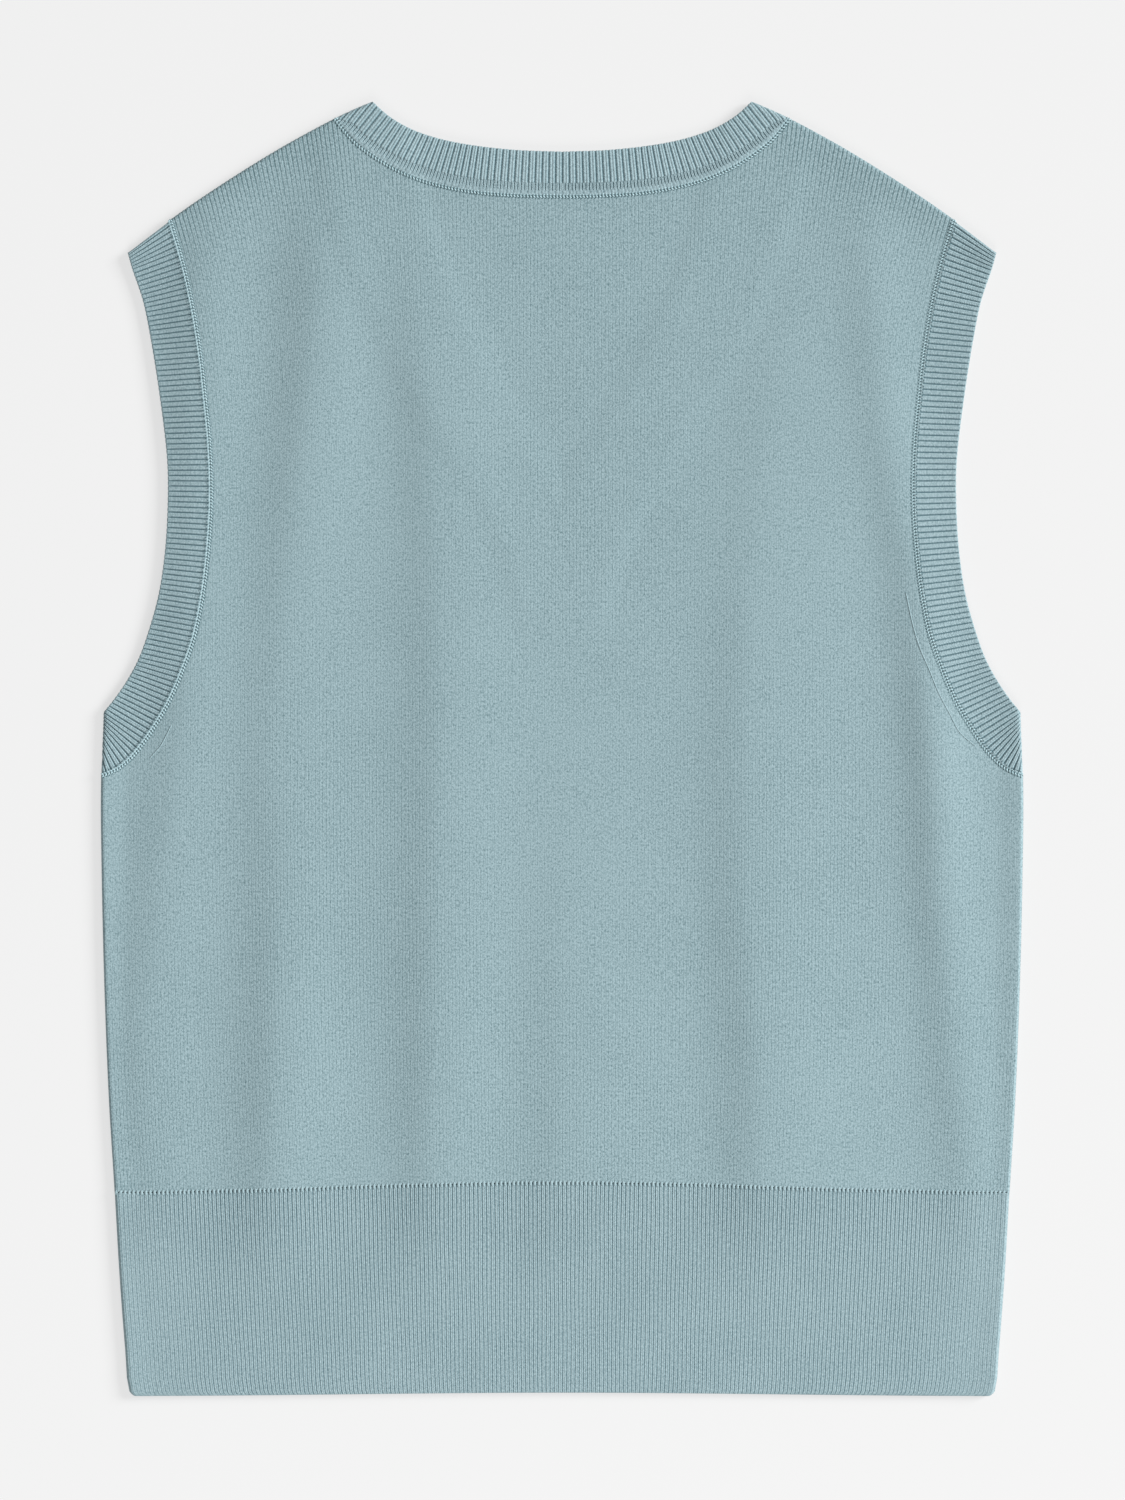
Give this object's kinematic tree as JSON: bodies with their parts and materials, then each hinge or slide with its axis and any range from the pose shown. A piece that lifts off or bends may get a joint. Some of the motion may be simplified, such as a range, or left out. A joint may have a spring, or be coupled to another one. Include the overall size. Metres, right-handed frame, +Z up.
{
  "type": "knitted sweater vest",
  "caption": "Sleeveless fine-knit sweater vest laid flat with its back up, with a ribbed neck band, ribbed arm bands and a deep ribbed hem",
  "frame": {"origin": "centre of the flat vest's outline, on the surface that it lies on", "axes": "+Y from the hem to the neck, +Z up through the vest from its front to its back, +X across it"},
  "size_m": [0.4524, 0.6346, 0.0048],
  "materials": {
    "jersey": "matt fine-gauge plain knit with a faint bloom",
    "rib": "matt one by one rib knit"
  },
  "bodies": {
    "root": {"front_panel": "jersey", "back_panel": "jersey", "front_hem_rib": "rib", "back_hem_rib": "rib", "neck_band": "rib", "left_arm_band": "rib", "right_arm_band": "rib"}
  },
  "joints": []
}
